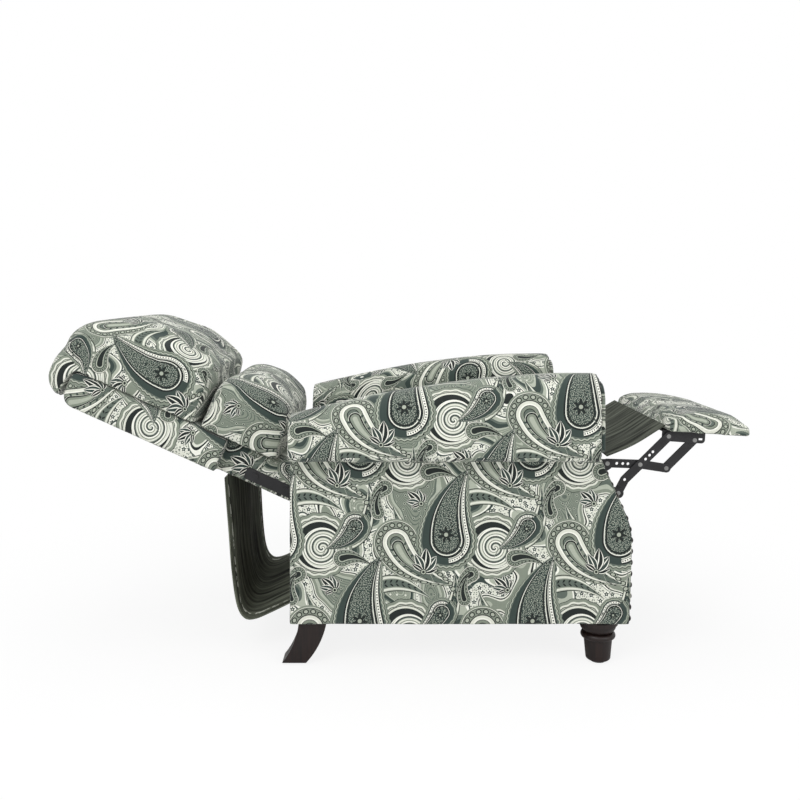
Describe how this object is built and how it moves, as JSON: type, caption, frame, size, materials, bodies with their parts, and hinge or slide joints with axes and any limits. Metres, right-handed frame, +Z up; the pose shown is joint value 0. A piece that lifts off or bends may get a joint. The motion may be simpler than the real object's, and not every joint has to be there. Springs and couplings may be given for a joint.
{
  "type": "pushback_recliner",
  "caption": "Pushback recliner with rolled arms, loose-pillow back, open footrest linkage and turned front legs, modelled fully reclined",
  "frame": {"origin": "on the floor, under the middle of the reclined chair's length and width", "axes": "+X forward towards the footrest, +Y to the sitter's left, +Z up"},
  "size_m": [1.6334, 0.75, 0.7663],
  "materials": {
    "paisley_cloth": "matte",
    "lining_cloth": "matte",
    "dark_wood": "satin",
    "frame_wood": "matte",
    "black_steel": "satin",
    "zinc_steel": "satin",
    "nail_bronze": "satin",
    "webbing": "matte",
    "glide_plastic": "matte"
  },
  "bodies": {
    "base": {"arm_frame_left": "frame_wood", "arm_frame_right": "frame_wood", "arm_cover_left": "paisley_cloth", "arm_cover_right": "paisley_cloth", "arm_facing_left": "paisley_cloth", "arm_facing_right": "paisley_cloth", "nailheads_left": "nail_bronze", "nailheads_right": "nail_bronze", "front_rail": "frame_wood", "front_rail_cover": "paisley_cloth", "rear_rail": "frame_wood", "corner_blocks": "frame_wood", "front_leg_left": "dark_wood", "front_leg_right": "dark_wood", "rear_leg_left": "dark_wood", "rear_leg_right": "dark_wood", "leg_bolts": "zinc_steel", "leg_glides": "glide_plastic", "base_rail_left": "black_steel", "base_rail_right": "black_steel", "base_rail_bolts": "zinc_steel", "base_pivot_pins": "zinc_steel", "back_skirt": "lining_cloth"},
    "front_swing": {"front_swing_link_left": "black_steel", "front_swing_link_right": "black_steel", "front_swing_tube": "black_steel"},
    "rear_swing": {"rear_swing_link_left": "black_steel", "rear_swing_link_right": "black_steel", "rear_swing_tube": "black_steel"},
    "seat": {"seat_rail_left": "black_steel", "seat_rail_right": "black_steel", "seat_frame": "frame_wood", "seat_webbing": "webbing", "seat_cushion": "paisley_cloth", "seat_pivot_pins": "zinc_steel"},
    "back": {"back_frame": "frame_wood", "back_webbing": "webbing", "back_cover": "paisley_cloth", "head_pillow": "paisley_cloth", "lumbar_pillow": "paisley_cloth", "back_arm_left": "black_steel", "back_arm_right": "black_steel", "back_arm_bolts": "zinc_steel", "guide_pins": "zinc_steel"},
    "cross_links": {"cross_link_left": "black_steel", "cross_link_right": "black_steel", "cross_link_pins": "zinc_steel"},
    "long_links": {"long_link_left": "black_steel", "long_link_right": "black_steel", "long_link_pins": "zinc_steel"},
    "short_links": {"short_link_left": "black_steel", "short_link_right": "black_steel"},
    "footrest": {"footrest_board": "frame_wood", "footrest_pad": "paisley_cloth", "footrest_bracket_left": "black_steel", "footrest_bracket_right": "black_steel", "footrest_screws": "zinc_steel", "bracket_pins": "zinc_steel", "leg_flap": "lining_cloth"},
    "drive": {"drive_links": "black_steel"}
  },
  "joints": [
    {"name": "front_swing", "type": "hinge", "parent": "base", "child": "front_swing", "pos_m": [0.31843, 0, 0.325], "axis": [0, 1, 0], "range_deg": [-30.72, 0]},
    {"name": "rear_swing", "type": "hinge", "parent": "base", "child": "rear_swing", "pos_m": [-0.02157, 0, 0.325], "axis": [0, 1, 0], "range_deg": [-30.72, 0]},
    {"name": "seat_carry", "type": "hinge", "parent": "front_swing", "child": "seat", "pos_m": [0.34093, 0, 0.40697], "axis": [0, 1, 0], "range_deg": [0, 30.72]},
    {"name": "back_recline", "type": "hinge", "parent": "seat", "child": "back", "pos_m": [-0.16057, 0, 0.318], "axis": [0, 1, 0], "range_deg": [0, 55.8], "deforming": ["back_skirt"]},
    {"name": "cross_link_fold", "type": "hinge", "parent": "seat", "child": "cross_links", "pos_m": [0.48543, 0, 0.427], "axis": [0, 1, 0], "range_deg": [0, 86.02]},
    {"name": "long_link_cross", "type": "hinge", "parent": "cross_links", "child": "long_links", "pos_m": [0.56143, 0, 0.4245], "axis": [0, 1, 0], "range_deg": [-111.02, 0]},
    {"name": "short_link_fold", "type": "hinge", "parent": "cross_links", "child": "short_links", "pos_m": [0.62343, 0, 0.415], "axis": [0, 1, 0], "range_deg": [-111.02, 0]},
    {"name": "footrest_tilt", "type": "hinge", "parent": "long_links", "child": "footrest", "pos_m": [0.62793, 0, 0.49], "axis": [0, 1, 0], "range_deg": [0, 111.02], "deforming": ["leg_flap"]},
    {"name": "drive_link_swing", "type": "hinge", "parent": "long_links", "child": "drive", "pos_m": [0.50943, 0, 0.3595], "axis": [0, 1, 0], "range_deg": [0, 92.87]}
  ],
  "couplings": [
    {"joint": "front_swing", "follows": "back_recline", "ratio": -0.55016},
    {"joint": "rear_swing", "follows": "back_recline", "ratio": -0.55016},
    {"joint": "seat_carry", "follows": "back_recline", "ratio": 0.55016},
    {"joint": "cross_link_fold", "follows": "back_recline", "ratio": 1.5412},
    {"joint": "long_link_cross", "follows": "back_recline", "ratio": -1.9892},
    {"joint": "short_link_fold", "follows": "back_recline", "ratio": -1.9892},
    {"joint": "footrest_tilt", "follows": "back_recline", "ratio": 1.9892},
    {"joint": "drive_link_swing", "follows": "back_recline", "ratio": 1.664}
  ]
}
